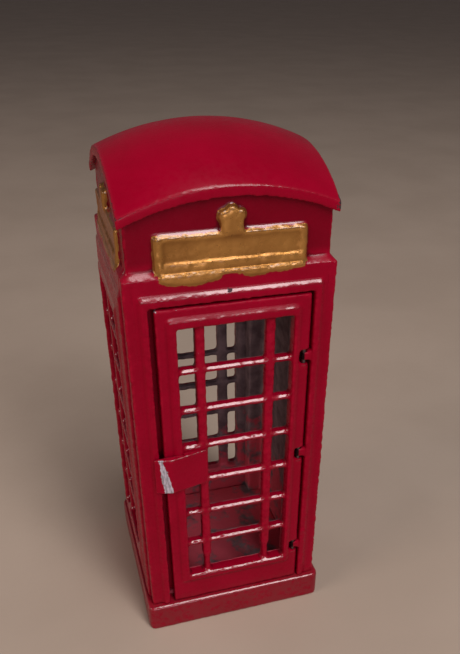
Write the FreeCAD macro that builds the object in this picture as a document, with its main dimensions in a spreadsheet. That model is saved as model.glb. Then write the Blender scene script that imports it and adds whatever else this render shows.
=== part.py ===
"""Die-cast miniature telephone booth with a hinged door. Millimetres, +Z up, door towards -Y.

The origin is the middle of the foot slab's underside. Every wall is drawn as if it faced -Y, and
its body is then turned about Z to the side where it stands.
"""

import os

import FreeCAD
import Part
import Sketcher

DIMENSIONS = {
    # foot slab
    "foot_half": 22.6,
    "foot_height": 7.6,
    "foot_corner": 1.6,
    "floor_step": 0.8,
    "floor_gap": 0.2,
    # tower: four walls round a square cabin
    "body_half": 21.25,
    "wall": 3.0,
    "seam": 0.04,
    "shoulder_low": 93.45,
    "shoulder_top": 94.25,
    "neck_inset": 1.2,
    # raised surround on each wall, with a sloping top
    "surround_raise": 0.6,
    "surround_low": 89.2,
    "surround_top": 90.2,
    "flute_place": 19.55,
    "flute_width": 0.4,
    "flute_depth": 0.25,
    "flute_low": 9.4,
    "flute_high": 92.4,
    # roof
    "roof_half": 21.1,
    "eaves": 104.6,
    "front_rise": 4.46,
    "side_rise": 7.2,
    "roof_thick": 2.0,
    "roof_gap": 0.15,
    # doorway and door
    "doorway_half": 16.9,
    "doorway_top": 87.7,
    "door_left": -15.7,
    "door_right": 16.5,
    "door_low": 8.0,
    "door_top": 87.2,
    "door_setback": 0.2,
    "door_thick": 2.8,
    # glazing grid: opening, bars and the raised border round it
    "glazing_half": 12.2,
    "glazing_low": 16.1,
    "glazing_top": 83.0,
    "door_glazing_middle": 0.5,
    "bar_height": 1.2,
    "bar_pitch": 9.39,
    "bar_lowest": 25.9,
    "bar_count": 6,
    "bar_depth": 2.4,
    "bar_setback": 0.3,
    "door_muntin_width": 1.3,
    "door_muntin_middle": 7.4,
    "wall_muntin_width": 2.6,
    "wall_muntin_middle": 8.2,
    "backing": 1.0,
    "border_side": 1.5,
    "border_hinge_side": 0.9,
    "border_foot": 1.7,
    "border_head": 1.9,
    "border_raise": 0.5,
    "outline_width": 0.6,
    "outline_depth": 0.45,
    # hinge
    "pin_radius": 0.5,
    "pin_bore_radius": 0.55,
    "pin_inset": 1.05,
    "pin_low": 13.0,
    "pin_high": 78.5,
    "lug_radius": 0.95,
    "lug_height": 2.4,
    "notch_height": 3.2,
    "notch_clear": 0.25,
    "lug_low_middle": 18.7,
    "lug_centre_middle": 47.8,
    "lug_high_middle": 73.0,
    # finger pull
    "pull_low": 44.4,
    "pull_high": 53.4,
    "pull_left": -18.2,
    "pull_nose": -17.1,
    "pull_crest": -14.6,
    "pull_step": -11.6,
    "pull_right": -6.3,
    "pull_edge": 0.35,
    "pull_nose_reach": 1.45,
    "pull_reach": 2.0,
    "post_radius": 0.9,
    "post_head_radius": 1.4,
    "post_head": 0.4,
    # sign panel and the lobed boss over it
    "sign_half": 14.7,
    "sign_low": 94.0,
    "sign_top": 100.8,
    "sign_raise": 0.8,
    "sign_border": 1.3,
    "sign_recess": 0.3,
    "boss_raise": 1.1,
    "boss_half": 2.1,
    "boss_top": 103.6,
    "lobe_radius": 1.05,
    "lobe_spread": 1.45,
    "lobe_low": 103.7,
    "lobe_high": 104.5,
    # corner posts, screws and roof pegs
    "post_side": 4.0,
    "corner_post_top": 100.6,
    "screw_radius": 0.8,
    "screw_depth": 6.0,
    "screw_clear_radius": 1.0,
    "screw_head_radius": 1.9,
    "screw_head_height": 1.3,
    "screw_recess_radius": 2.2,
    "screw_recess_depth": 2.4,
    "screw_slot_width": 0.5,
    "screw_slot_depth": 0.6,
    "screw_tip_gap": 0.5,
    "peg_radius": 1.1,
    "peg_length": 4.0,
    "peg_boss_radius": 1.9,
    "peg_boss_top": 107.6,
    # how far a pad runs into the solid it joins, and a cut past the surface it opens
    "overlap": 0.2,
    "cut_past": 1.0,
}

doc = FreeCAD.newDocument("telephone_booth")
sheet = doc.addObject("Spreadsheet::Sheet", "dims")
for row, (alias, number) in enumerate(DIMENSIONS.items(), start=1):
    sheet.set(f"A{row}", alias)
    sheet.set(f"B{row}", str(number))
    sheet.setAlias(f"B{row}", alias)
doc.recompute()

# Places that several features share, as expressions of sheet values.
FACE = "dims.body_half"
SURROUND_FACE = "(dims.body_half + dims.surround_raise)"
NECK_FACE = "(dims.body_half - dims.neck_inset)"
CABIN = "(dims.body_half - dims.wall)"
DOOR_FACE = "(dims.body_half + dims.surround_raise - dims.door_setback)"
PIN_X = "(dims.door_right - dims.pin_inset)"
PIN_DEPTH = "(dims.body_half + dims.surround_raise - dims.door_setback - dims.pin_inset)"
POST_MIDDLE = "(dims.body_half - dims.wall - dims.post_side / 2)"
POST_FOOT = "(dims.foot_height + dims.floor_step + dims.seam)"
FRONT_RADIUS = "((dims.roof_half^2 + dims.front_rise^2) / (2 * dims.front_rise))"
SIDE_RADIUS = "((dims.roof_half^2 + dims.side_rise^2) / (2 * dims.side_rise))"
LUG_MIDDLES = ("dims.lug_low_middle", "dims.lug_centre_middle", "dims.lug_high_middle")
# The pull's post goes through the middle of the solid pane beside it.
PANE_INNER = "(dims.door_muntin_middle + dims.door_muntin_width / 2)"
PULL_POST_X = f"(dims.door_glazing_middle - (dims.glazing_half + {PANE_INNER}) / 2)"
PULL_POST_Z = "((dims.pull_low + dims.pull_high) / 2)"
# Longer than the tower is wide, for cuts that go right through.
THROUGH = "(4 * dims.body_half)"
# Volumes and lengths under this count as nothing.
SMALL = 1e-6


def rise_at(radius, place):
    """Height of a roof arch above its springing, at a distance from its middle."""
    return f"(sqrt({radius}^2 - {place}^2) - sqrt({radius}^2 - dims.roof_half^2))"


def under_roof(rise_across, rise_along):
    """Height just under the roof shell where its two arches have risen by these amounts."""
    return f"(dims.eaves - dims.roof_thick - dims.roof_gap + {rise_across} + {rise_along})"


# ---------------------------------------------------------------- drawing helpers

def new_body(label):
    body = doc.addObject("PartDesign::Body", label)
    body.Label = label
    return body


def new_sketch(body, name, plane, offset="0"):
    """Sketch on one of the body's origin planes, moved along that plane's normal.

    The XZ plane's normal is -Y, so an offset there is a distance towards the front.
    """
    sketch = body.newObject("Sketcher::SketchObject", name)
    origin_plane = [item for item in body.Origin.OriginFeatures if item.Role == plane][0]
    sketch.AttachmentSupport = [(origin_plane, "")]
    sketch.MapMode = "FlatFace"
    sketch.setExpression("AttachmentOffset.Base.z", offset)
    return sketch


def bind(sketch, kind, edge, point, expression):
    """Tie one coordinate of a point of the sketch to the sheet."""
    place = sketch.getPoint(edge, point)
    present = place.x if kind == "DistanceX" else place.y
    number = sketch.addConstraint(Sketcher.Constraint(kind, -1, 1, edge, point, present))
    sketch.setExpression(f"Constraints[{number}]", expression)


def bind_radius(sketch, edge, expression):
    present = sketch.Geometry[edge].Radius
    number = sketch.addConstraint(Sketcher.Constraint("Radius", edge, present))
    sketch.setExpression(f"Constraints[{number}]", expression)


def outline(sketch, points):
    """Closed outline of straight lines through points given as pairs of expressions."""
    first = sketch.GeometryCount
    count = len(points)
    seeds = [FreeCAD.Vector(index, index * index, 0) for index in range(count)]
    for index in range(count):
        sketch.addGeometry(Part.LineSegment(seeds[index], seeds[(index + 1) % count]), False)
    for index in range(count):
        following = first + (index + 1) % count
        sketch.addConstraint(Sketcher.Constraint("Coincident", first + index, 2, following, 1))
    for index, (across, up) in enumerate(points):
        bind(sketch, "DistanceX", first + index, 1, across)
        bind(sketch, "DistanceY", first + index, 1, up)


def rectangle(sketch, left, right, low, high):
    outline(sketch, [(left, low), (right, low), (right, high), (left, high)])


def circle(sketch, across, up, radius):
    seed = Part.Circle(FreeCAD.Vector(1, 1, 0), FreeCAD.Vector(0, 0, 1), 1)
    edge = sketch.addGeometry(seed, False)
    bind(sketch, "DistanceX", edge, 3, across)
    bind(sketch, "DistanceY", edge, 3, up)
    bind_radius(sketch, edge, radius)


def arched(sketch, half, low, spring, radius):
    """Panel outline with straight sides and a segmental arch on top."""
    across = DIMENSIONS["body_half"]
    foot = DIMENSIONS["shoulder_low"]
    eaves = DIMENSIONS["eaves"]
    crown = eaves + DIMENSIONS["front_rise"]
    places = [FreeCAD.Vector(-across, eaves, 0),
              FreeCAD.Vector(-across, foot, 0),
              FreeCAD.Vector(across, foot, 0),
              FreeCAD.Vector(across, eaves, 0)]
    for start, end in zip(places, places[1:]):
        sketch.addGeometry(Part.LineSegment(start, end), False)
    arc = Part.Arc(places[3], FreeCAD.Vector(0, crown, 0), places[0])
    top = sketch.addGeometry(arc, False)
    joins = ((0, 2, 1, 1), (1, 2, 2, 1), (2, 2, top, 1), (top, 2, 0, 1))
    for edge, point, next_edge, next_point in joins:
        sketch.addConstraint(Sketcher.Constraint("Coincident", edge, point, next_edge, next_point))
    ends = ((0, 1, f"-{half}", spring),
            (1, 1, f"-{half}", low),
            (2, 1, half, low),
            (2, 2, half, spring))
    for edge, point, place, height in ends:
        bind(sketch, "DistanceX", edge, point, place)
        bind(sketch, "DistanceY", edge, point, height)
    bind_radius(sketch, top, radius)


def extrude(body, kind, sketch, length, reverse=False, both=False):
    """Pad or Pocket of the sketch by a length; reverse runs it the other way."""
    feature = body.newObject(f"PartDesign::{kind}", f"{sketch.Name}_{kind.lower()}")
    feature.Profile = sketch
    feature.setExpression("Length", length)
    feature.Reversed = reverse
    if both:
        feature.Midplane = True
    sketch.Visibility = False
    doc.recompute()
    return feature


def pad(body, name, plane, offset, draw, length, reverse=False, both=False):
    sketch = new_sketch(body, name, plane, offset)
    draw(sketch)
    return extrude(body, "Pad", sketch, length, reverse, both)


def cut(body, name, plane, offset, draw, length, reverse=False, both=False):
    """Pocket that has to take something away."""
    volume_before = body.Shape.Volume
    sketch = new_sketch(body, name, plane, offset)
    draw(sketch)
    feature = extrude(body, "Pocket", sketch, length, reverse, both)
    if feature.Shape.Volume >= volume_before - SMALL:
        raise RuntimeError(f"{name} cuts nothing")
    return feature


def round_edges(body, name, edges, radius):
    """Fillet on named edges of the body as it stands."""
    base = body.Tip
    fillet = body.newObject("PartDesign::Fillet", name)
    fillet.Base = (base, edges)
    fillet.setExpression("Radius", radius)
    doc.recompute()


def post_circles(sketch, radius, rows=("", "-")):
    """Circles over the corner posts. A wall's own two posts are the "-" row of its drawing."""
    for across in ("", "-"):
        for along in rows:
            circle(sketch, f"{across}{POST_MIDDLE}", f"{along}{POST_MIDDLE}", radius)


def repeat_upwards(body, feature, pitch, count):
    """Copies of a feature at equal steps up the body."""
    pattern = body.newObject("PartDesign::LinearPattern", f"{feature.Name}_rows")
    pattern.Originals = [feature]
    vertical = [item for item in body.Origin.OriginFeatures if item.Role == "Z_Axis"][0]
    pattern.Direction = (vertical, [""])
    pattern.Mode = "Spacing"
    pattern.setExpression("Offset", pitch)
    pattern.setExpression("Occurrences", count)
    body.Tip = pattern
    doc.recompute()
    return pattern


# ---------------------------------------------------------------- features that walls share

def add_panel(body, half):
    """Flat wall with a sloping shoulder up to the recessed, arched neck."""
    pad(body, "panel", "XZ_Plane", CABIN,
        lambda sketch: rectangle(sketch, f"-{half}", half, "dims.foot_height", "dims.shoulder_top"),
        "dims.wall")
    cut(body, "shoulder", "YZ_Plane", "0",
        lambda sketch: outline(sketch, [(f"-{FACE}", "dims.shoulder_low"),
                                        (f"-{FACE}", "dims.shoulder_top"),
                                        (f"-{NECK_FACE}", "dims.shoulder_top")]),
        THROUGH, both=True)


def add_neck(body, half, spring, radius):
    pad(body, "neck", "XZ_Plane", CABIN,
        lambda sketch: arched(sketch, half, "dims.shoulder_low", spring, radius),
        "dims.wall - dims.neck_inset")


def add_surround(body, half):
    """Raised field on the wall, whose top edge slopes back to the wall."""
    pad(body, "surround", "XZ_Plane", FACE,
        lambda sketch: rectangle(sketch, f"-{half}", half, "dims.foot_height", "dims.surround_top"),
        "dims.surround_raise")
    cut(body, "surround_slope", "YZ_Plane", "0",
        lambda sketch: outline(sketch, [(f"-{SURROUND_FACE}", "dims.surround_low"),
                                        (f"-{SURROUND_FACE}", "dims.surround_top"),
                                        (f"-{FACE}", "dims.surround_top")]),
        THROUGH, both=True)


def add_flutes(body):
    """One shallow upright groove in each corner pilaster, on the face and on the wall's ends."""
    low = "dims.flute_low"
    high = "dims.flute_high"
    near = "(dims.flute_place - dims.flute_width / 2)"
    far = "(dims.flute_place + dims.flute_width / 2)"

    def face_grooves(sketch):
        rectangle(sketch, near, far, low, high)
        rectangle(sketch, f"-{far}", f"-{near}", low, high)

    cut(body, "face_flutes", "XZ_Plane", FACE, face_grooves, "dims.flute_depth")
    for name, offset, reverse in (("right_flute", FACE, False), ("left_flute", f"-{FACE}", True)):
        cut(body, name, "YZ_Plane", offset,
            lambda sketch: rectangle(sketch, f"-{far}", f"-{near}", low, high),
            "dims.flute_depth", reverse)


def add_grid(body, middle, face, muntin, right_border="dims.border_side"):
    """Raised border, one tall opening, six glazing bars and two muntins.

    muntin is "door" or "wall", for the values that hold its width and place.
    """
    left = f"({middle} - dims.glazing_half)"
    right = f"({middle} + dims.glazing_half)"
    pad(body, "border", "XZ_Plane", face,
        lambda sketch: rectangle(sketch, f"{left} - dims.border_side", f"{right} + {right_border}",
                                 "dims.glazing_low - dims.border_foot",
                                 "dims.glazing_top + dims.border_head"),
        "dims.border_raise")
    cut(body, "glazing", "XZ_Plane", "0",
        lambda sketch: rectangle(sketch, left, right, "dims.glazing_low", "dims.glazing_top"),
        THROUGH, reverse=True)
    bar_face = f"({face} - dims.bar_setback)"
    bar = pad(body, "bar", "XZ_Plane", bar_face,
              lambda sketch: rectangle(sketch, f"{left} - dims.overlap", f"{right} + dims.overlap",
                                       "dims.bar_lowest - dims.bar_height / 2",
                                       "dims.bar_lowest + dims.bar_height / 2"),
              "dims.bar_depth", reverse=True)
    repeat_upwards(body, bar, "dims.bar_pitch", "dims.bar_count")
    half_width = f"dims.{muntin}_muntin_width / 2"

    def muntins(sketch):
        for side in ("-", "+"):
            place = f"{middle} {side} dims.{muntin}_muntin_middle"
            rectangle(sketch, f"{place} - {half_width}", f"{place} + {half_width}",
                      "dims.glazing_low - dims.overlap", "dims.glazing_top + dims.overlap")

    pad(body, "muntins", "XZ_Plane", bar_face, muntins, "dims.bar_depth", reverse=True)


def add_backing(body):
    """Sheet behind the grid of a wall whose panes are cast blind."""
    half = "(dims.glazing_half + dims.overlap)"
    pad(body, "backing", "XZ_Plane", CABIN,
        lambda sketch: rectangle(sketch, f"-{half}", half,
                                 "dims.glazing_low - dims.overlap",
                                 "dims.glazing_top + dims.overlap"),
        "dims.backing")


def add_false_door(body):
    """Shallow line in the surround where the real doorway would be."""
    outer = "dims.doorway_half"
    inner = "(dims.doorway_half - dims.outline_width)"

    def line(sketch):
        outline(sketch, [(f"-{outer}", "dims.door_low"), (f"-{inner}", "dims.door_low"),
                         (f"-{inner}", "dims.doorway_top - dims.outline_width"),
                         (inner, "dims.doorway_top - dims.outline_width"),
                         (inner, "dims.door_low"), (outer, "dims.door_low"),
                         (outer, "dims.doorway_top"), (f"-{outer}", "dims.doorway_top")])

    cut(body, "false_door", "XZ_Plane", SURROUND_FACE, line, "dims.outline_depth")


def add_sign(body):
    """Blank sign panel with a sunk field, and a plain three-lobed boss over it."""
    half = "dims.sign_half"
    pad(body, "sign", "XZ_Plane", NECK_FACE,
        lambda sketch: rectangle(sketch, f"-{half}", half, "dims.sign_low", "dims.sign_top"),
        "dims.sign_raise")
    cut(body, "sign_field", "XZ_Plane", f"{NECK_FACE} + dims.sign_raise",
        lambda sketch: rectangle(sketch, f"-{half} + dims.sign_border", f"{half} - dims.sign_border",
                                 "dims.sign_low + dims.sign_border",
                                 "dims.sign_top - dims.sign_border / 2"),
        "dims.sign_recess")
    pad(body, "boss", "XZ_Plane", NECK_FACE,
        lambda sketch: rectangle(sketch, "-dims.boss_half", "dims.boss_half",
                                 "dims.sign_top - dims.overlap", "dims.boss_top"),
        "dims.boss_raise")
    lobes = (("-dims.lobe_spread", "dims.lobe_low"),
             ("0", "dims.lobe_high"),
             ("dims.lobe_spread", "dims.lobe_low"))
    for across, up in lobes:
        pad(body, "lobe", "XZ_Plane", NECK_FACE,
            lambda sketch: circle(sketch, across, up, "dims.lobe_radius"),
            "dims.boss_raise")


# ---------------------------------------------------------------- pieces

def make_base_plate():
    """Foot slab with a low raised floor inside the walls and four stepped screw holes."""
    body = new_body("base_plate")
    half = "dims.foot_half"
    pad(body, "slab", "XY_Plane", "0",
        lambda sketch: rectangle(sketch, f"-{half}", half, f"-{half}", half),
        "dims.foot_height")
    upright = [f"Edge{number}" for number, edge in enumerate(body.Shape.Edges, start=1)
               if edge.BoundBox.XLength < SMALL and edge.BoundBox.YLength < SMALL]
    round_edges(body, "slab_corners", upright, "dims.foot_corner")
    floor_half = f"({CABIN} - dims.floor_gap)"
    pad(body, "floor", "XY_Plane", "dims.foot_height",
        lambda sketch: rectangle(sketch, f"-{floor_half}", floor_half, f"-{floor_half}", floor_half),
        "dims.floor_step")
    cut(body, "screw_holes", "XY_Plane", "0",
        lambda sketch: post_circles(sketch, "dims.screw_clear_radius"),
        THROUGH, reverse=True)
    cut(body, "screw_recesses", "XY_Plane", "0",
        lambda sketch: post_circles(sketch, "dims.screw_recess_radius"),
        "dims.screw_recess_depth", reverse=True)
    return body


def make_end_wall(label):
    """Wall as wide as the tower, whose ends show at the tower's sides."""
    body = new_body(label)
    add_panel(body, FACE)

    def end_shoulders(sketch):
        for side in ("", "-"):
            outline(sketch, [(f"{side}{FACE}", "dims.shoulder_low"),
                             (f"{side}{FACE}", "dims.shoulder_top"),
                             (f"{side}{NECK_FACE}", "dims.shoulder_top")])

    cut(body, "end_shoulders", "XZ_Plane", "0", end_shoulders, THROUGH, reverse=True)
    spring = under_roof(rise_at(FRONT_RADIUS, NECK_FACE), rise_at(SIDE_RADIUS, NECK_FACE))
    add_neck(body, NECK_FACE, spring, FRONT_RADIUS)
    add_surround(body, CABIN)
    add_flutes(body)
    return body


def make_side_wall(label, blind):
    """Wall that stands between the end walls and carries the corner posts of its side.

    A blind wall has a backing behind its grid, and the other one is open.
    """
    body = new_body(label)
    half = f"({CABIN} - dims.seam)"
    add_panel(body, half)
    spring = under_roof(rise_at(SIDE_RADIUS, CABIN), rise_at(FRONT_RADIUS, NECK_FACE))
    add_neck(body, half, spring, SIDE_RADIUS)
    add_surround(body, half)
    add_false_door(body)
    add_grid(body, "0", SURROUND_FACE, "wall")
    if blind:
        add_backing(body)
    add_sign(body)

    def posts(sketch):
        for side in ("", "-"):
            rectangle(sketch, f"{side}{half}", f"{side}({half} - dims.post_side)",
                      f"-{CABIN} - dims.overlap", f"-{CABIN} + dims.post_side")

    pad(body, "posts", "XY_Plane", POST_FOOT, posts, f"dims.corner_post_top - {POST_FOOT}")
    cut(body, "screw_bores", "XY_Plane", POST_FOOT,
        lambda sketch: post_circles(sketch, "dims.screw_radius", rows="-"),
        "dims.screw_depth", reverse=True)
    cut(body, "peg_sockets", "XY_Plane", "dims.corner_post_top",
        lambda sketch: post_circles(sketch, "dims.peg_radius", rows="-"),
        "dims.peg_length + dims.seam")
    return body


def make_front_frame():
    """End wall with the doorway, open down to the foot slab, and three eyes for the hinge pin."""
    body = make_end_wall("front_frame")
    cut(body, "doorway", "XZ_Plane", "0",
        lambda sketch: rectangle(sketch, "-dims.doorway_half", "dims.doorway_half",
                                 "dims.foot_height - dims.cut_past", "dims.doorway_top"),
        THROUGH, reverse=True)
    add_sign(body)
    for middle in LUG_MIDDLES:
        low = f"({middle} - dims.lug_height / 2)"
        pad(body, "lug", "XY_Plane", low,
            lambda sketch: rectangle(sketch, PIN_X, "dims.doorway_half + dims.overlap",
                                     f"-{PIN_DEPTH} - dims.lug_radius",
                                     f"-{PIN_DEPTH} + dims.lug_radius"),
            "dims.lug_height")
        pad(body, "lug_end", "XY_Plane", low,
            lambda sketch: circle(sketch, PIN_X, f"-{PIN_DEPTH}", "dims.lug_radius"),
            "dims.lug_height")
    cut(body, "pin_eyes", "XY_Plane", "dims.foot_height",
        lambda sketch: circle(sketch, PIN_X, f"-{PIN_DEPTH}", "dims.pin_bore_radius"),
        "dims.pin_high", reverse=True)
    return body


def make_back_wall():
    body = make_end_wall("back_wall")
    add_false_door(body)
    add_grid(body, "0", SURROUND_FACE, "wall")
    add_sign(body)
    return body


def make_roof():
    """Domed shell: one shallow arch carried along another, with a boss and peg over each post."""
    body = new_body("roof")
    profile = new_sketch(body, "arch_band", "XZ_Plane", "dims.roof_half")
    low_spring = "(dims.eaves - dims.roof_thick)"
    half = DIMENSIONS["roof_half"]
    high = DIMENSIONS["eaves"]
    low = high - DIMENSIONS["roof_thick"]
    rise = DIMENSIONS["front_rise"]
    places = [FreeCAD.Vector(-half, high, 0),
              FreeCAD.Vector(half, high, 0),
              FreeCAD.Vector(half, low, 0),
              FreeCAD.Vector(-half, low, 0)]
    upper_middle = FreeCAD.Vector(0, high + rise, 0)
    lower_middle = FreeCAD.Vector(0, low + rise, 0)
    upper = profile.addGeometry(Part.Arc(places[1], upper_middle, places[0]), False)
    lower = profile.addGeometry(Part.Arc(places[2], lower_middle, places[3]), False)
    left_end = profile.addGeometry(Part.LineSegment(places[0], places[3]), False)
    right_end = profile.addGeometry(Part.LineSegment(places[2], places[1]), False)
    joins = ((upper, 2, left_end, 1),
             (left_end, 2, lower, 2),
             (lower, 1, right_end, 1),
             (right_end, 2, upper, 1))
    for edge, point, next_edge, next_point in joins:
        profile.addConstraint(Sketcher.Constraint("Coincident", edge, point, next_edge, next_point))
    for end, side in ((left_end, "-"), (right_end, "")):
        top_point = 1 if end == left_end else 2
        bind(profile, "DistanceX", end, top_point, f"{side}dims.roof_half")
        bind(profile, "DistanceY", end, top_point, "dims.eaves")
        bind(profile, "DistanceX", end, 3 - top_point, f"{side}dims.roof_half")
        bind(profile, "DistanceY", end, 3 - top_point, low_spring)
    for arc in (upper, lower):
        bind_radius(profile, arc, FRONT_RADIUS)

    path = new_sketch(body, "ridge_line", "YZ_Plane")
    ridge_middle = FreeCAD.Vector(0, high + DIMENSIONS["side_rise"], 0)
    ridge = Part.Arc(FreeCAD.Vector(half, high, 0), ridge_middle, FreeCAD.Vector(-half, high, 0))
    path.addGeometry(ridge, False)
    for point, side in ((1, ""), (2, "-")):
        bind(path, "DistanceX", 0, point, f"{side}dims.roof_half")
        bind(path, "DistanceY", 0, point, "dims.eaves")
    bind_radius(path, 0, SIDE_RADIUS)
    doc.recompute()

    shell = body.newObject("PartDesign::AdditivePipe", "dome")
    shell.Profile = profile
    shell.Spine = path
    shell.Mode = "Fixed"
    doc.recompute()

    pad(body, "bosses", "XY_Plane", "dims.corner_post_top + dims.seam",
        lambda sketch: post_circles(sketch, "dims.peg_boss_radius"),
        "dims.peg_boss_top - dims.corner_post_top")
    pad(body, "pegs", "XY_Plane", "dims.corner_post_top + dims.overlap",
        lambda sketch: post_circles(sketch, "dims.peg_radius"),
        "dims.peg_length + dims.overlap", reverse=True)
    return body


def make_door():
    """Door casting whose hinge edge is rounded about the pin and notched for the three eyes."""
    body = new_body("door")
    back = f"({DOOR_FACE} - dims.door_thick)"
    pad(body, "leaf", "XZ_Plane", back,
        lambda sketch: rectangle(sketch, "dims.door_left", "dims.door_right",
                                 "dims.door_low", "dims.door_top"),
        "dims.door_thick")
    box = body.Shape.BoundBox
    hinge_edge = [f"Edge{number}" for number, edge in enumerate(body.Shape.Edges, start=1)
                  if edge.BoundBox.XMin > box.XMax - SMALL and edge.BoundBox.YMax < box.YMin + SMALL]
    round_edges(body, "hinge_edge", hinge_edge, "dims.pin_inset")
    add_grid(body, "dims.door_glazing_middle", DOOR_FACE, "door", "dims.border_hinge_side")

    # The narrow pane beside the pull is cast solid, with a hole for the pull's post.
    pane_left = "(dims.door_glazing_middle - dims.glazing_half)"
    pane_right = "(dims.door_glazing_middle - dims.door_muntin_middle)"
    pane_low = "(dims.bar_lowest + 2 * dims.bar_pitch)"
    pad(body, "solid_pane", "XZ_Plane", f"{DOOR_FACE} - dims.bar_setback",
        lambda sketch: rectangle(sketch, f"{pane_left} - dims.overlap", pane_right,
                                 pane_low, f"{pane_low} + dims.bar_pitch"),
        "dims.bar_depth", reverse=True)
    cut(body, "post_hole", "XZ_Plane", "0",
        lambda sketch: circle(sketch, PULL_POST_X, PULL_POST_Z, "dims.post_radius"),
        THROUGH, reverse=True)

    notch_left = f"({PIN_X} - dims.lug_radius - dims.notch_clear)"

    def notches(sketch):
        for middle in LUG_MIDDLES:
            rectangle(sketch, notch_left, "dims.door_right + dims.cut_past",
                      f"{middle} - dims.notch_height / 2",
                      f"{middle} + dims.notch_height / 2")

    cut(body, "lug_notches", "XZ_Plane", "0", notches, THROUGH, reverse=True)
    pin_length = "dims.pin_high - dims.pin_low"
    cut(body, "pin_bed", "XY_Plane", "dims.pin_low",
        lambda sketch: circle(sketch, PIN_X, f"-{PIN_DEPTH}", "dims.pin_radius"),
        pin_length, reverse=True)
    cut(body, "pin_slot", "XY_Plane", "dims.pin_low",
        lambda sketch: rectangle(sketch, f"{PIN_X} - dims.pin_radius",
                                 f"{PIN_X} + dims.pin_radius",
                                 f"-{PIN_DEPTH}", f"-{back} + dims.cut_past"),
        pin_length, reverse=True)
    return body


def make_door_pull():
    """Wedge-shaped finger pull that laps over the frame; its post is headed over behind the door."""
    body = new_body("door_pull")
    back = f"({DOOR_FACE} + dims.border_raise + dims.seam)"
    seat = f"({DOOR_FACE} - dims.bar_setback + dims.seam)"
    plan = [("dims.pull_left", f"-{back}"),
            ("dims.pull_left", f"-{back} - dims.pull_edge"),
            ("dims.pull_nose", f"-{DOOR_FACE} - dims.pull_nose_reach"),
            ("dims.pull_crest", f"-{DOOR_FACE} - dims.pull_reach"),
            ("dims.pull_right", f"-{seat} - dims.pull_edge"),
            ("dims.pull_right", f"-{seat}"),
            ("dims.pull_step", f"-{seat}"),
            ("dims.pull_step", f"-{back}")]
    pad(body, "wedge", "XY_Plane", "dims.pull_low",
        lambda sketch: outline(sketch, plan), "dims.pull_high - dims.pull_low")
    pane_back = f"({DOOR_FACE} - dims.bar_setback - dims.bar_depth)"
    pad(body, "post", "XZ_Plane", pane_back,
        lambda sketch: circle(sketch, PULL_POST_X, PULL_POST_Z, "dims.post_radius"),
        f"{seat} - {pane_back} + dims.overlap")
    pad(body, "post_head", "XZ_Plane", pane_back,
        lambda sketch: circle(sketch, PULL_POST_X, PULL_POST_Z, "dims.post_head_radius"),
        "dims.post_head", reverse=True)
    return body


def make_hinge_pin():
    body = new_body("hinge_pin")
    pad(body, "wire", "XY_Plane", "dims.pin_low",
        lambda sketch: circle(sketch, PIN_X, f"-{PIN_DEPTH}", "dims.pin_radius"),
        "dims.pin_high - dims.pin_low")
    return body


def make_base_screws():
    """Four slotted screws, driven up through the foot slab into the corner posts."""
    screws = []
    for number, (across, along) in enumerate(((1, 1), (1, -1), (-1, 1), (-1, -1)), start=1):
        head = doc.addObject("Part::Cylinder", f"screw_head_{number}")
        head.setExpression("Radius", "dims.screw_head_radius")
        head.setExpression("Height", "dims.screw_head_height")
        shank = doc.addObject("Part::Cylinder", f"screw_shank_{number}")
        shank.setExpression("Radius", "dims.screw_radius - dims.seam / 2")
        shank_low = "dims.screw_recess_depth"
        shank.setExpression("Height", f"{POST_FOOT} + dims.screw_depth - {shank_low} - dims.screw_tip_gap")
        slot = doc.addObject("Part::Box", f"screw_slot_{number}")
        slot.setExpression("Length", "4 * dims.screw_head_radius")
        slot.setExpression("Width", "dims.screw_slot_width")
        slot.setExpression("Height", "dims.screw_slot_depth")
        head_low = "dims.screw_recess_depth - dims.screw_head_height"
        for piece, shift, low in ((head, "0", head_low),
                                  (shank, "0", shank_low),
                                  (slot, "2 * dims.screw_head_radius", head_low)):
            piece.setExpression("Placement.Base.x", f"{across} * {POST_MIDDLE} - {shift}")
            piece.setExpression("Placement.Base.y", f"{along} * {POST_MIDDLE}")
            piece.setExpression("Placement.Base.z", low)
        slot_middle = f"{along} * {POST_MIDDLE}"
        slot.setExpression("Placement.Base.y", f"{slot_middle} - dims.screw_slot_width / 2")
        whole = doc.addObject("Part::Fuse", f"screw_whole_{number}")
        whole.Base = head
        whole.Tool = shank
        screw = doc.addObject("Part::Cut", f"screw_{number}")
        screw.Base = whole
        screw.Tool = slot
        screws.append(screw)
    group = doc.addObject("Part::Compound", "base_screws")
    group.Links = screws
    return group


# Quarter turns that carry each wall from the front to its own side of the tower.
pieces = {
    make_base_plate(): 0,
    make_front_frame(): 0,
    make_side_wall("right_wall", blind=True): 90,
    make_back_wall(): 180,
    make_side_wall("left_wall", blind=False): 270,
    make_roof(): 0,
    make_door(): 0,
    make_door_pull(): 0,
    make_hinge_pin(): 0,
    make_base_screws(): 0,
}
upright_axis = FreeCAD.Vector(0, 0, 1)
for piece, turn in pieces.items():
    turned = FreeCAD.Rotation(upright_axis, turn)
    piece.Placement = FreeCAD.Placement(FreeCAD.Vector(0, 0, 0), turned)
doc.recompute()

for item in doc.Objects:
    if "Invalid" in item.State or "Error" in item.State:
        raise RuntimeError(f"{item.Label} failed: {item.State}")
os.makedirs("parts", exist_ok=True)
for piece in pieces:
    if piece.Shape.isNull() or not piece.Shape.isValid():
        raise RuntimeError(f"{piece.Label} has no valid shape")
    piece.Shape.exportStep(f"parts/{piece.Label}.step")
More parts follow.
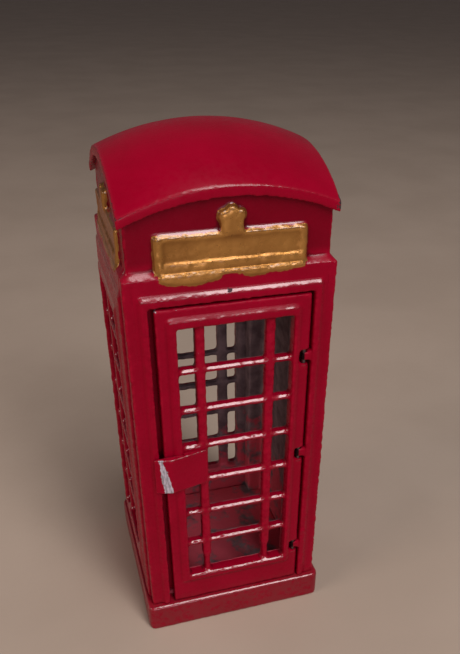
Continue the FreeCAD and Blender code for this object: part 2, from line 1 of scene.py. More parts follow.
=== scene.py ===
"""Looks of a die-cast toy telephone booth: red enamel over zinc, gold painted signs, a bare inside.

Lengths in the helpers are millimetres, and Blender's own units are metres. The booth stands on z = 0, and its
door faces -Y. Every cast piece is a dense copy of its CAD node, with its edges rounded over and its surface
uneven, as thick enamel leaves them. What a material has to know about a place is kept for each vertex as a
number, under one of these names:

crest: 1 on an outer edge, 0 on a flat and below 0 in an inner corner
gloss: how much clear gloss the enamel has there
shade: how much painted shade darkens the red there
wear: how much more easily the enamel chips there
bare: 1 where the casting was never painted
gold: how deep the place lies inside the gold paint, in mm
"""

from collections import namedtuple

import bmesh
import bpy
import numpy as np
from mathutils import Matrix, Vector
from mathutils.bvhtree import BVHTree


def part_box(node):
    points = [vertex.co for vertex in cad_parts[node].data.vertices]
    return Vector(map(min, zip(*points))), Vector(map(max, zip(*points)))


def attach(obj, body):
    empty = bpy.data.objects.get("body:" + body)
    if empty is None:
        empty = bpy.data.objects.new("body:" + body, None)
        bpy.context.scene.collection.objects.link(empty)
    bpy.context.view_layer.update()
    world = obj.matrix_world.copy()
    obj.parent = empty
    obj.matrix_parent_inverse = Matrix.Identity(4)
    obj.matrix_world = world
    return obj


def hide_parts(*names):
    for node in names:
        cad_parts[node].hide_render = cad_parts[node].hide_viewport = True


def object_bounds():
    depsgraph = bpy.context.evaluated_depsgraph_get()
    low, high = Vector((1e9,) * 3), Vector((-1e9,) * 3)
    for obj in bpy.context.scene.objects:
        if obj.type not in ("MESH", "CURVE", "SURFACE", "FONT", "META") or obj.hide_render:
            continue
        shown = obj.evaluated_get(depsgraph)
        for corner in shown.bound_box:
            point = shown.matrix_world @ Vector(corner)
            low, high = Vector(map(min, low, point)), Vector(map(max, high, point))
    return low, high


MM = 0.001

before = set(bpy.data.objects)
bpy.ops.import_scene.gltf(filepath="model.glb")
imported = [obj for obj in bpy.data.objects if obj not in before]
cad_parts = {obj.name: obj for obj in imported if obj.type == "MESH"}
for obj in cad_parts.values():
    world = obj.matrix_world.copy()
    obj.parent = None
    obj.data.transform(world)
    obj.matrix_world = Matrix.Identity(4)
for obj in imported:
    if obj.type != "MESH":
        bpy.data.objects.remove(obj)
cad_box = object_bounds()

# The walls, as quarter turns that bring each one round to the front.
QUARTER_TURNS = {"front_frame": 0, "right_wall": 1, "back_wall": 2, "left_wall": 3}

# How fine each piece's mesh is.
WALL_VOXELS = {"front_frame": 0.23, "right_wall": 0.34, "back_wall": 0.32, "left_wall": 0.32}
ROOF_VOXEL = 0.27
BASE_VOXEL = 0.26
DOOR_VOXEL = 0.24
PULL_VOXEL = 0.11
SCREW_VOXEL = 0.12

# The sign and the lobed boss over it, as (across, up) on a wall. There is gold only beyond GOLD_BEYOND.
SIGN_MIDDLE = (0.0, 97.4)
SIGN_HALF = (14.95, 3.6)
BOSS_MIDDLE = (0.0, 102.0)
BOSS_HALF = (2.3, 1.7)
BOSS_LOBES = ((-1.45, 103.7), (0.0, 104.5), (1.45, 103.7))
BOSS_FOOT = 101.5
LOBE_RADIUS = 1.35
GOLD_BEYOND = 19.4

# The heights of the shoulder below the sign, and of the gold that has run over it.
SHOULDER = (93.0, 94.8)
GOLD_RUN_TOP = 96.2
GOLD_RUN_FOOT = 92.9
# The runs in front, each with its middle, half width and drop.
FRONT_RUNS = ((-8.4, 6.2, 1.5), (4.8, 3.0, 0.9), (9.6, 3.0, 0.5))

# Each surround's sloping top stays crisp, and the front one has a chip near its middle.
SLOPE_FOOT = (88.2, 88.9)
SLOPE_TOP = (90.5, 91.0)
CHIP_MIDDLE = (-0.9, 89.9)
CHIP_HALF = (0.9, 0.8)

# Nearer the booth's middle than this, the castings are bare, as is the door behind DOOR_BACK.
FRONT_BARE_WITHIN = 17.9
WALL_BARE_WITHIN = 20.3
NECK_BARE_WITHIN = 18.9
ROOF_BARE_WITHIN = 19.6
BASE_BARE_WITHIN = 18.4
DOOR_BACK = -19.5

# The door's muntins, which the enamel makes plumper, and its upper edge, which the frame shelters.
GLAZING_MIDDLE = 0.5
GLAZING_FOOT = 20.0
MUNTIN_MIDDLE = 7.4
MUNTIN_PLUMP = 0.32
DOOR_SHELTERED = 86.0

# The stripe rubbed into the pull: where its left and right sides start, and how far each shifts by the top.
STRIPE_LEFT = (-16.6, -0.6)
STRIPE_RIGHT = (-14.6, -1.9)
STRIPE_BEND = 1.4
STRIPE_BLUR = 0.12

# The frame's eyes for the hinge wire, drawn in by EYE_GAP so that the door clears them as it turns.
HINGE_EYES = (18.7, 47.8, 73.0)
EYE_HALF_HEIGHT = 1.9
EYE_ACROSS = (13.6, 16.9)
# Short of EYE_DARK_TO across, the frame's eyes are painted near black, as shadow in the hinge notches.
EYE_DARK_TO = 15.4
EYE_GAP = 0.16

# Upper edges are softened over SOFT_RADIUS. A crest is how far a point stands out from its surroundings
# within CREST_RADIUS, in CREST_HEIGHTs. ABOVE_ALL is higher than the booth.
SOFT_RADIUS = 1.05
CREST_RADIUS = 0.7
CREST_HEIGHT = 0.12
DARKEST_CREST = -1.5
ABOVE_ALL = 200.0

Skin = namedtuple("Skin", "piece points normals crest gloss")
Finish = namedtuple("Finish", "colour rough metal coat")


# ---------------------------------------------------------------- numbers and meshes


def lumps(points, size, seed):
    """Smooth random values from -1 to 1 at points in mm, with lumps about one size across."""
    table = np.random.default_rng(seed).uniform(-1.0, 1.0, 4096)
    scaled = points / size
    corner = np.floor(scaled).astype(np.int64)
    part = scaled - corner
    part = part * part * (3.0 - 2.0 * part)
    total = np.zeros(len(points))
    for step in np.ndindex(2, 2, 2):
        weight = np.prod(np.where(step, part, 1.0 - part), axis=1)
        x, y, z = (corner + step).T
        total += weight * table[(x * 73856093 ^ y * 19349663 ^ z * 83492791) & 4095]
    return total


def ease(values, low, high):
    """0 below low, 1 above high, and a smooth step between them."""
    share = np.clip((values - low) / (high - low), 0.0, 1.0)
    return share * share * (3.0 - 2.0 * share)


def until(values, low, high):
    """1 below low, 0 above high, and a smooth step between them."""
    return 1.0 - ease(values, low, high)


def vectors_of(collection, name):
    """A mesh collection's vectors as an array of rows."""
    rows = np.zeros(len(collection) * 3, np.float32)
    collection.foreach_get(name, rows)
    return rows.reshape(-1, 3).astype(float)


def move_to(mesh, points):
    """Puts a mesh's vertices at points in mm."""
    mesh.vertices.foreach_set("co", (points * MM).ravel())
    mesh.update()


def averaged(mesh, rows, rounds):
    """Each vertex's row, averaged with its neighbours' that many times."""
    ends = np.zeros(len(mesh.edges) * 2, np.int32)
    mesh.edges.foreach_get("vertices", ends)
    first, second = ends.reshape(-1, 2).T
    count = len(mesh.vertices)
    near = np.bincount(first, minlength=count) + np.bincount(second, minlength=count)
    for _ in range(rounds):
        columns = [
            np.bincount(first, column[second], count) + np.bincount(second, column[first], count)
            for column in rows.T
        ]
        rows = 0.5 * rows + 0.5 * np.stack(columns, axis=1) / near[:, None]
    return rows


def rounds_for(radius, voxel):
    """How many rounds of averaging soften a mesh over that radius."""
    return round(2.0 * (radius / voxel) ** 2)


def store(mesh, name, values):
    """Keeps one number for each vertex, for a material to read."""
    kept = mesh.attributes.get(name) or mesh.attributes.new(name, "FLOAT", "POINT")
    kept.data.foreach_set("value", values.astype(np.float32))


def welded(node):
    """A copy of a CAD node's mesh, with the vertices that its sharp edges split joined again."""
    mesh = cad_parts[node].data.copy()
    shape = bmesh.new()
    shape.from_mesh(mesh)
    bmesh.ops.remove_doubles(shape, verts=shape.verts, dist=0.001 * MM)
    shape.to_mesh(mesh)
    shape.free()
    mesh.attributes.active_color = None
    return mesh


def dense_copy(node, name, voxel):
    """A new object with a CAD node's shape, in even quads of about one voxel."""
    piece = bpy.data.objects.new(name, welded(node))
    bpy.context.scene.collection.objects.link(piece)
    even = piece.modifiers.new("Even", "REMESH")
    even.mode = "VOXEL"
    even.voxel_size = voxel * MM
    depsgraph = bpy.context.evaluated_depsgraph_get()
    mesh = bpy.data.meshes.new_from_object(piece.evaluated_get(depsgraph), depsgraph=depsgraph)
    piece.modifiers.clear()
    piece.data = mesh
    mesh.polygons.foreach_set("use_smooth", np.ones(len(mesh.polygons), bool))
    return piece


def distance_to(nodes, points):
    """How far each point, in mm, is from the nearest surface of those CAD nodes."""
    joined = bmesh.new()
    for node in nodes:
        joined.from_mesh(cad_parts[node].data)
    tree = BVHTree.FromBMesh(joined)
    joined.free()
    reach = 2.0
    found = (tree.find_nearest(Vector(point) * MM, reach * MM)[3] for point in points)
    return np.array([reach if distance is None else distance / MM for distance in found])


def in_mm(box):
    """A box's lowest and highest corners, turned from metres to mm."""
    return [np.array(corner) / MM for corner in box]


def reach_of(points):
    """How far each point is from the booth's middle, both ways."""
    return np.max(np.abs(points[:, :2]), axis=1)


# ---------------------------------------------------------------- gold paint


def turned_to_front(points, turns):
    """Points in mm, turned about the booth's upright axis so that a wall comes to the front."""
    x, y, z = points.T
    for _ in range(turns):
        x, y = y, -x
    return np.stack([x, y, z], axis=1)


def box_depth(across, up, middle, half):
    """How deep a point lies inside a rectangle, and below 0 how far outside."""
    return np.minimum(half[0] - np.abs(across - middle[0]), half[1] - np.abs(up - middle[1]))


def gold_runs(turns):
    """The gold that ran over the shoulder of one wall: middle, half width and drop of each run."""
    if turns == 0:
        return FRONT_RUNS
    random = np.random.default_rng(40 + turns)
    return [
        (middle + random.uniform(-2.0, 2.0), random.uniform(2.5, 5.5), random.uniform(0.6, 2.4))
        for middle in (-9.0, 0.0, 9.0)
    ]


def gold_depth(points, turns):
    """How deep each point lies inside its wall's gold paint, in mm, and inside the part that ran down."""
    across, out, up = turned_to_front(points, turns).T
    wobble = 0.22 * lumps(points, 1.6, 11 + turns) + 0.12 * lumps(points, 0.6, 21 + turns)
    depth = box_depth(across, up, SIGN_MIDDLE, SIGN_HALF)
    depth = np.maximum(depth, box_depth(across, up, BOSS_MIDDLE, BOSS_HALF))
    for middle, height in BOSS_LOBES:
        depth = np.maximum(depth, LOBE_RADIUS - np.hypot(across - middle, up - height))
    bottom = np.full(len(points), GOLD_RUN_FOOT)
    for middle, half_width, drop in gold_runs(turns):
        share = np.clip(1.0 - ((across - middle) / half_width) ** 2, 0.0, 1.0)
        bottom = np.minimum(bottom, GOLD_RUN_FOOT - drop * np.sqrt(share))
    ends = SIGN_HALF[0] - 0.5 - np.abs(across)
    run = np.minimum.reduce([up - bottom, GOLD_RUN_TOP - up, ends])
    depth = np.maximum(depth, run) + wobble
    return np.where(-out > GOLD_BEYOND, depth, -1.0), run


def gold_thickness(points, depth, run):
    """How far the gold paint stands up, in mm: more where it ran down."""
    painted = ease(depth, -0.1, 0.5)
    brushed = 0.1 + 0.05 * lumps(points, 1.1, 4) + 0.03 * lumps(points, 0.6, 6)
    pooled = ease(run, 0.0, 0.6) * (0.16 + 0.08 * lumps(points, 1.7, 5))
    return painted * (brushed + pooled)


# ---------------------------------------------------------------- enamel


def rounded_over(node, mesh, start, free, voxel, rounding, soft, soft_below):
    """A casting's points with their edges rounded, those that face up and outward most of all."""
    rounded = start + (averaged(mesh, start, rounds_for(rounding, voxel)) - start) * free[:, None]
    move_to(mesh, rounded)
    lean = vectors_of(mesh.vertices, "normal")[:, 2]
    height = start[:, 2]
    upward = ease(lean, 0.25, 0.55) * until(lean, 0.85, 0.97) * until(height, soft_below - 0.5, soft_below)
    softer = averaged(mesh, start, rounds_for(SOFT_RADIUS, voxel))
    rounded += (softer - rounded) * (upward * free * soft)[:, None]
    rounded += (averaged(mesh, rounded, 3) - rounded) * free[:, None]
    if node in QUARTER_TURNS:
        crisp = ease(height, *SLOPE_FOOT) * until(height, *SLOPE_TOP)
        rounded += (averaged(mesh, start, 5) - rounded) * (crisp * free)[:, None]
    return rounded


def crest_of(mesh, points, normals, voxel):
    """1 on an outer edge, 0 on a flat and below 0 in an inner corner."""
    wide = averaged(mesh, points, rounds_for(CREST_RADIUS, voxel))
    crest = np.sum((points - wide) * normals, axis=1) / CREST_HEIGHT
    return np.clip(averaged(mesh, crest[:, None], 2)[:, 0], DARKEST_CREST, -DARKEST_CREST)


def gloss_of(points, normals, gloss_below):
    """Clear gloss, where the surface leans up and outward below that height."""
    lean = normals[:, 2]
    unsheltered = until(points[:, 2], gloss_below - 0.5, gloss_below)
    return ease(lean, 0.15, 0.40) * until(lean, 0.88, 0.98) * unsheltered


def enamelled(
    node,
    voxel,
    rounding,
    bead,
    neighbours=(),
    film=0.08,
    soft=0.0,
    soft_below=ABOVE_ALL,
    gloss_below=ABOVE_ALL,
):
    """A cast piece, rounded by its rounding in mm, but left as it is where it meets its neighbours.

    bead is how far the enamel stands up in lumps along the outer edges, and film is twice its even thickness.
    soft is the share by which edges that face up are softened further, below the height soft_below, and
    gloss_below is the height above which no edge gets clear gloss."""
    piece = dense_copy(node, node + "_cast", voxel)
    mesh = piece.data
    start = vectors_of(mesh.vertices, "co") / MM
    free = ease(distance_to(neighbours, start), 0.1, 0.6) if neighbours else np.ones(len(start))
    rounded = rounded_over(node, mesh, start, free, voxel, rounding, soft, soft_below)
    move_to(mesh, rounded)
    normals = vectors_of(mesh.vertices, "normal")
    crest = crest_of(mesh, rounded, normals, voxel)
    offset = 0.5 * film + 0.02 * lumps(rounded, 3.5, 1)
    offset += bead * np.clip(crest, 0.0, 1.0) * (lumps(rounded, 1.3, 2) + 0.6 * lumps(rounded, 0.6, 3))
    if node in QUARTER_TURNS:
        depth, run = gold_depth(rounded, QUARTER_TURNS[node])
        offset += gold_thickness(rounded, depth, run)
        store(mesh, "gold", depth)
    placed = rounded + normals * (offset * (0.3 + 0.7 * free))[:, None]
    placed = np.clip(placed, *in_mm(cad_box))
    move_to(mesh, placed)
    gloss = gloss_of(placed, normals, gloss_below)
    if node in QUARTER_TURNS:
        height = placed[:, 2]
        on_shoulder = ease(height, SHOULDER[0] - 0.2, SHOULDER[0] + 0.2)
        on_shoulder *= until(height, SHOULDER[1] - 0.2, SHOULDER[1] + 0.2) * (depth < 0.0)
        gloss *= 1.0 - 0.6 * on_shoulder
    for name, values in (("crest", crest), ("gloss", gloss)):
        store(mesh, name, values)
    for name in ("shade", "wear", "bare"):
        store(mesh, name, np.zeros(len(placed)))
    return Skin(piece, placed, normals, crest, gloss)


# ---------------------------------------------------------------- node helpers


def new_material(name):
    """A material with one principled shader, its tree and that shader's inputs."""
    material = bpy.data.materials.new(name)
    material.use_nodes = True
    return material, material.node_tree, material.node_tree.nodes["Principled BSDF"].inputs


def put(tree, socket, value):
    """Sets a socket, or links it when the value is another node's output."""
    if isinstance(value, bpy.types.NodeSocket):
        tree.links.new(value, socket)
    elif isinstance(value, tuple) and len(value) == 3 and socket.type == "RGBA":
        socket.default_value = (*value, 1.0)
    else:
        socket.default_value = value


def attribute(tree, name):
    """The number that store() kept for each vertex."""
    node = tree.nodes.new("ShaderNodeAttribute")
    node.attribute_name = name
    return node.outputs["Fac"]


def noise(tree, size, seed, detail=3.0, rough=0.55, stretch=(1.0, 1.0, 1.0)):
    """Noise from 0 to 1 that sticks to the object, with grains about size mm across."""
    place = tree.nodes.new("ShaderNodeTexCoord").outputs["Object"]
    mapping = tree.nodes.new("ShaderNodeMapping")
    mapping.inputs["Scale"].default_value = stretch
    mapping.inputs["Location"].default_value = (0.37 * seed, 0.11 * seed, 0.23 * seed)
    tree.links.new(place, mapping.inputs["Vector"])
    node = tree.nodes.new("ShaderNodeTexNoise")
    tree.links.new(mapping.outputs["Vector"], node.inputs["Vector"])
    node.inputs["Scale"].default_value = 1.0 / (size * MM)
    node.inputs["Detail"].default_value = detail
    node.inputs["Roughness"].default_value = rough
    return node.outputs["Fac"]


def height_above_floor(tree):
    """Height in mm, from the object's own coordinates."""
    place = tree.nodes.new("ShaderNodeTexCoord").outputs["Object"]
    split = tree.nodes.new("ShaderNodeSeparateXYZ")
    tree.links.new(place, split.inputs["Vector"])
    return maths(tree, "MULTIPLY", split.outputs["Z"], 1.0 / MM)


def maths(tree, operation, first, second):
    """One sum of two numbers."""
    node = tree.nodes.new("ShaderNodeMath")
    node.operation = operation
    put(tree, node.inputs[0], first)
    put(tree, node.inputs[1], second)
    return node.outputs[0]


def remap(tree, value, low, high, to_low=0.0, to_high=1.0):
    """A smooth step of the value from low to high."""
    node = tree.nodes.new("ShaderNodeMapRange")
    node.interpolation_type = "SMOOTHSTEP"
    put(tree, node.inputs["Value"], value)
    node.inputs["From Min"].default_value = low
    node.inputs["From Max"].default_value = high
    node.inputs["To Min"].default_value = to_low
    node.inputs["To Max"].default_value = to_high
    return node.outputs["Result"]


def mixed(tree, share, first, second, kind="RGBA"):
    """first where the share is 0, second where it is 1."""
    node = tree.nodes.new("ShaderNodeMix")
    node.data_type = kind
    inputs = [socket for socket in node.inputs if socket.enabled]
    put(tree, inputs[0], share)
    put(tree, inputs[1], first)
    put(tree, inputs[2], second)
    return next(socket for socket in node.outputs if socket.enabled)


def mixed_value(tree, share, first, second):
    """Two numbers mixed by a share."""
    return mixed(tree, share, first, second, "FLOAT")


def laid_over(tree, share, under, over):
    """One finish laid over another, by a share."""
    colour = mixed(tree, share, under.colour, over.colour)
    return Finish(colour, *(mixed_value(tree, share, *pair) for pair in zip(under[1:], over[1:])))


def bumped(tree, height, depth, strength=1.0, under=None):
    """A normal raised by a height of 0 to 1, which stands for that depth in mm."""
    node = tree.nodes.new("ShaderNodeBump")
    put(tree, node.inputs["Height"], height)
    node.inputs["Distance"].default_value = depth * MM
    put(tree, node.inputs["Strength"], strength)
    if under is not None:
        tree.links.new(under, node.inputs["Normal"])
    return node.outputs["Normal"]


# ---------------------------------------------------------------- materials

ENAMEL_RED = (0.300, 0.0004, 0.0170)
ENAMEL_DULL = (0.262, 0.0004, 0.0140)
# Painted shade: the darker red that inner corners and the eaves get.
ENAMEL_PAINTED_SHADE = (0.085, 0.0003, 0.0040)
# Painted shadow: a near black red for the deepest creases and the hinge eyes.
ENAMEL_PAINTED_SHADOW = (0.008, 0.002, 0.003)
ENAMEL_DUSTY = (0.200, 0.030, 0.032)
ENAMEL_THIN = (0.345, 0.0035, 0.0220)
GOLD = (0.480, 0.235, 0.060)
# The dark gold serves both the random tone and the painted shade in the gold's hollows.
GOLD_DARK = (0.230, 0.095, 0.020)
ZINC = (0.270, 0.195, 0.210)
ZINC_DARK = (0.140, 0.100, 0.110)
# Red overspray, painted brighter than the enamel itself: partly real overspray, partly painted light where
# light reaches low inside.
OVERSPRAY_AND_PAINTED_LIGHT = (0.620, 0.090, 0.130)
CHIP_BRIGHT = (0.620, 0.570, 0.660)
CHIP_GREY = (0.300, 0.290, 0.320)
CHIP_DARK = (0.060, 0.040, 0.045)
STEEL = ((0.60, 0.58, 0.54), (0.34, 0.32, 0.29), (0.12, 0.06, 0.03))
# Painted shade: the hinge wire's steel is darkened because it sits in the shadow of the hinge notches.
STEEL_IN_PAINTED_SHADE = ((0.20, 0.17, 0.17), (0.09, 0.07, 0.07), (0.09, 0.03, 0.02))
FLOOR_PALE = (0.46, 0.37, 0.295)
FLOOR_SHADED = (0.42, 0.335, 0.265)
PINKISH = (1.0, 0.62, 0.72, 1.0)


def red_finish(tree, crest, gloss, broad, fine):
    """The red: darker in corners and under the eaves as painted shade, near black in the deepest creases and
    hinge eyes as painted shadow, dusty near the floor, and thin on the edges.
    """
    red = mixed(tree, remap(tree, broad, 0.3, 0.7), ENAMEL_RED, ENAMEL_DULL)
    # Painted shade: darker red in inner corners and, by the shade number, under the eaves.
    red = mixed(tree, remap(tree, crest, -0.15, -0.9), red, ENAMEL_PAINTED_SHADE)
    red = mixed(tree, attribute(tree, "shade"), red, ENAMEL_PAINTED_SHADE)
    # Painted shadow: near black in the deepest creases and the hinge eyes.
    red = mixed(tree, remap(tree, crest, -1.1, -1.4), red, ENAMEL_PAINTED_SHADOW)
    low_down = remap(tree, height_above_floor(tree), 11.0, 5.0)
    dust = maths(tree, "MULTIPLY", low_down, remap(tree, fine, 0.25, 0.6))
    red = mixed(tree, maths(tree, "MULTIPLY", dust, 0.6), red, ENAMEL_DUSTY)
    thin = maths(tree, "MULTIPLY", remap(tree, crest, 0.25, 1.0), remap(tree, fine, 0.35, 0.7))
    red = mixed(tree, thin, red, ENAMEL_THIN)
    return Finish(red, mixed_value(tree, remap(tree, fine, 0.3, 0.7), 0.24, 0.36), 0.0, gloss)


def gold_finish(tree, crest, gloss, broad, fine):
    """Brushed gold paint, darker in its hollows as painted shade and lighter on its edges as a painted
    highlight.
    """
    # Painted light: the gold is darker in hollows and lighter on edges, by how far each place stands out.
    painted_light_by_crest = remap(tree, crest, -0.6, 0.5, 0.0, 0.6)
    gold_tone_and_painted_light = maths(tree, "ADD", painted_light_by_crest, remap(tree, broad, 0.3, 0.7, 0.0, 0.4))
    colour = mixed(tree, gold_tone_and_painted_light, GOLD_DARK, GOLD)
    rough = remap(tree, fine, 0.3, 0.7, 0.26, 0.38)
    return Finish(colour, rough, 0.65, remap(tree, gloss, 0.0, 1.0, 0.1, 0.55))


def gold_share(tree, fine):
    """Where there is gold, with a ragged edge."""
    ragged = maths(tree, "ADD", attribute(tree, "gold"), remap(tree, fine, 0.3, 0.7, -0.12, 0.12))
    return remap(tree, ragged, -0.03, 0.05)


def chip_finish(tree, dark_chips):
    """The metal under a chip, streaked and bright, or gone dark."""
    threshold = 0.5 - 0.3 * dark_chips
    gone_dark = remap(tree, noise(tree, 2.5, 7), threshold, threshold + 0.1)
    streaks = remap(tree, noise(tree, 0.45, 11, detail=4.0, stretch=(1.0, 1.0, 0.3)), 0.4, 0.65)
    colour = mixed(tree, gone_dark, mixed(tree, streaks, CHIP_BRIGHT, CHIP_GREY), CHIP_DARK)
    return Finish(colour, 0.48, 0.35, 0.0)


def chip_share(tree, crest, wear):
    """Where the enamel has chipped off: on edges, and where the mesh says that it wears."""
    edge = maths(tree, "ADD", maths(tree, "MULTIPLY", crest, 0.55), attribute(tree, "wear"))
    flakes = remap(tree, noise(tree, 1.6, 6, detail=6.0, rough=0.65), 0.35, 0.75, -0.5, 0.5)
    return remap(tree, maths(tree, "ADD", edge, flakes), 0.98 - wear, 1.06 - wear)


def zinc_finish(tree, fine):
    """Dull cast zinc, with red overspray that thickens towards the floor; the overspray is partly painted
    light, brighter than the enamel, where light reaches low inside.
    """
    zinc = mixed(tree, remap(tree, noise(tree, 3.2, 10, detail=5.0), 0.3, 0.7), ZINC, ZINC_DARK)
    # Partly painted light: more of the bright overspray low down stands in for the light that reaches in
    # through the lower panes.
    low_down = remap(tree, height_above_floor(tree), 44.0, 16.0, -0.20, 0.12)
    mist = maths(tree, "ADD", noise(tree, 6.5, 9, detail=5.0, rough=0.62), low_down)
    zinc = mixed(tree, remap(tree, mist, 0.49, 0.63), zinc, OVERSPRAY_AND_PAINTED_LIGHT)
    return Finish(zinc, remap(tree, fine, 0.3, 0.7, 0.5, 0.68), 0.3, 0.0)


def zinc_share(tree):
    """Where the casting was never painted, with a ragged edge."""
    ragged = remap(tree, noise(tree, 1.3, 8, detail=5.0), 0.3, 0.7, -0.3, 0.3)
    return remap(tree, maths(tree, "ADD", attribute(tree, "bare"), ragged), 0.42, 0.62)


def enamel_relief(tree, crest, gloss, fine):
    """Fine unevenness everywhere, and coarse lumps on the glossy upper edges."""
    grain = noise(tree, 0.35, 3, detail=2.0)
    normal = bumped(tree, mixed_value(tree, 0.35, fine, grain), 0.04, 0.3)
    raised = maths(tree, "MULTIPLY", gloss, remap(tree, crest, 0.1, 0.8, 0.5, 1.0))
    coarse = maths(tree, "MULTIPLY", raised, noise(tree, 0.6, 5, detail=4.0))
    return bumped(tree, coarse, 0.40, 0.8, normal)


def cast_enamel(name, wear, dark_chips, gold=False):
    """Red enamel on zinc, with gold on top where the mesh has some.

    wear moves the worn share of the edges, and dark_chips the share of chips that have gone dark."""
    material, tree, inputs = new_material(name)
    crest = attribute(tree, "crest")
    gloss = attribute(tree, "gloss")
    broad = noise(tree, 9.0, 1)
    fine = noise(tree, 1.1, 2, detail=4.0)
    finish = red_finish(tree, crest, gloss, broad, fine)
    if gold:
        finish = laid_over(tree, gold_share(tree, fine), finish, gold_finish(tree, crest, gloss, broad, fine))
    chipped = chip_share(tree, crest, wear)
    finish = laid_over(tree, chipped, finish, chip_finish(tree, dark_chips))
    finish = laid_over(tree, zinc_share(tree), finish, zinc_finish(tree, fine))
    put(tree, inputs["Base Color"], finish.colour)
    put(tree, inputs["Roughness"], finish.rough)
    put(tree, inputs["Metallic"], finish.metal)
    put(tree, inputs["Coat Weight"], finish.coat)
    put(tree, inputs["Normal"], bumped(tree, chipped, -0.06, 0.6, enamel_relief(tree, crest, gloss, fine)))
    inputs["Coat Roughness"].default_value = 0.18
    inputs["Coat IOR"].default_value = 1.7
    inputs["Specular IOR Level"].default_value = 0.12
    inputs["Specular Tint"].default_value = PINKISH
    return material


def drawn_steel(name, bright, dark, rust):
    """Plain steel, drawn or turned, with grime and a little rust in its hollows."""
    material, tree, inputs = new_material(name)
    streaks = noise(tree, 0.5, 21, detail=4.0, stretch=(1.0, 1.0, 0.2))
    patches = noise(tree, 1.8, 22, detail=4.0)
    colour = mixed(tree, remap(tree, streaks, 0.3, 0.7), bright, dark)
    colour = mixed(tree, remap(tree, patches, 0.58, 0.7), colour, rust)
    put(tree, inputs["Base Color"], colour)
    put(tree, inputs["Metallic"], remap(tree, patches, 0.58, 0.7, 0.95, 0.2))
    put(tree, inputs["Roughness"], remap(tree, streaks, 0.3, 0.7, 0.28, 0.5))
    put(tree, inputs["Normal"], bumped(tree, streaks, 0.03, 0.5))
    return material


def pale_floor():
    """A plain pale table top, faintly mottled."""
    material, tree, inputs = new_material("Pale_floor")
    cloud = remap(tree, noise(tree, 60.0, 31, detail=3.0), 0.3, 0.7)
    speck = noise(tree, 1.5, 32, detail=2.0)
    put(tree, inputs["Base Color"], mixed(tree, cloud, FLOOR_PALE, FLOOR_SHADED))
    put(tree, inputs["Roughness"], remap(tree, speck, 0.3, 0.7, 0.6, 0.7))
    put(tree, inputs["Normal"], bumped(tree, speck, 0.03, 0.3))
    return material


# ---------------------------------------------------------------- the booth's pieces


def finish_piece(piece, body, node, material):
    """Gives a piece its material and its CAD body, and hides the CAD node that it stands for."""
    piece.data.materials.clear()
    piece.data.materials.append(material)
    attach(piece, body)
    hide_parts(node)


def inner_share(points, within):
    """1 for points nearer the middle than that, both ways, and 0 outside it."""
    return until(reach_of(points), within - 0.15, within + 0.35)


def at_hinge_eyes(points):
    """Which points, of the frame or the door, are at the three eyes for the hinge wire."""
    across, along, up = points.T
    rows = np.min([np.abs(up - height) for height in HINGE_EYES], axis=0) < EYE_HALF_HEIGHT
    return rows & (across > EYE_ACROSS[0]) & (across < EYE_ACROSS[1]) & (along < -19.0)


def wall_bare(node, points, normals):
    """Where a wall is bare: inside, but not round the doorway or on a face that looks out."""
    facing_out = -turned_to_front(normals, QUARTER_TURNS[node])[:, 1]
    painted_face = ease(facing_out, 0.2, 0.5)
    if node == "front_frame":
        return inner_share(points, FRONT_BARE_WITHIN) * (1.0 - painted_face)
    at_neck = ease(points[:, 2], 91.5, 92.5)
    within = WALL_BARE_WITHIN + (NECK_BARE_WITHIN - WALL_BARE_WITHIN) * at_neck
    behind_doorway = ease(points[:, 1], -17.6, -16.6)
    return inner_share(points, within) * behind_doorway * (1.0 - painted_face)


def make_wall(node, material):
    """A wall of the booth, red outside, with its gold sign, and bare inside."""
    neighbours = [other for other in QUARTER_TURNS if other != node]
    skin = enamelled(
        node,
        WALL_VOXELS[node],
        rounding=0.50,
        bead=0.13,
        neighbours=neighbours,
        soft=0.8,
        soft_below=BOSS_FOOT,
    )
    mesh, points = skin.piece.data, skin.points
    store(mesh, "bare", wall_bare(node, points, skin.normals))
    # Painted shade: under the eaves, on faces that don't look up, the red is darkened as if in the roof's
    # shadow.
    under_eaves = ease(points[:, 2], 94.6, 96.5) * until(reach_of(points), 20.2, 20.6)
    store(mesh, "shade", 0.5 * under_eaves * (skin.normals[:, 2] < 0.3))
    if node == "front_frame":
        off_chip = (points[:, [0, 2]] - CHIP_MIDDLE) / CHIP_HALF
        store(mesh, "wear", 1.5 * until(np.hypot(*off_chip.T), 0.5, 1.0))
        eyes = at_hinge_eyes(points)
        points[eyes] -= EYE_GAP * skin.normals[eyes]
        move_to(mesh, points)
        # Painted shadow: the frame's eyes short of EYE_DARK_TO take the darkest crest, so their red goes near
        # black.
        store(mesh, "crest", np.where(eyes & (points[:, 0] < EYE_DARK_TO), DARKEST_CREST, skin.crest))
        store(mesh, "gloss", np.where(eyes, 0.0, skin.gloss))
    finish_piece(skin.piece, "booth", node, material)


def make_roof(material):
    """The domed roof: its lip and corners are worn through."""
    skin = enamelled("roof", ROOF_VOXEL, rounding=0.40, bead=0.06)
    mesh, points, lean = skin.piece.data, skin.points, skin.normals[:, 2]
    store(mesh, "bare", inner_share(points, ROOF_BARE_WITHIN) * ease(-lean, 0.0, 0.4))
    lip = ease(reach_of(points), 20.2, 21.0) * ease(points[:, 2], 103.0, 104.2)
    corner = ease(np.min(np.abs(points[:, :2]), axis=1), 15.0, 20.5)
    store(mesh, "wear", 0.18 * lip + 0.42 * corner * lip)
    store(mesh, "gloss", 0.45 * ease(skin.crest, 0.1, 0.6) * ease(lean, 0.15, 0.4))
    finish_piece(skin.piece, "booth", "roof", material)


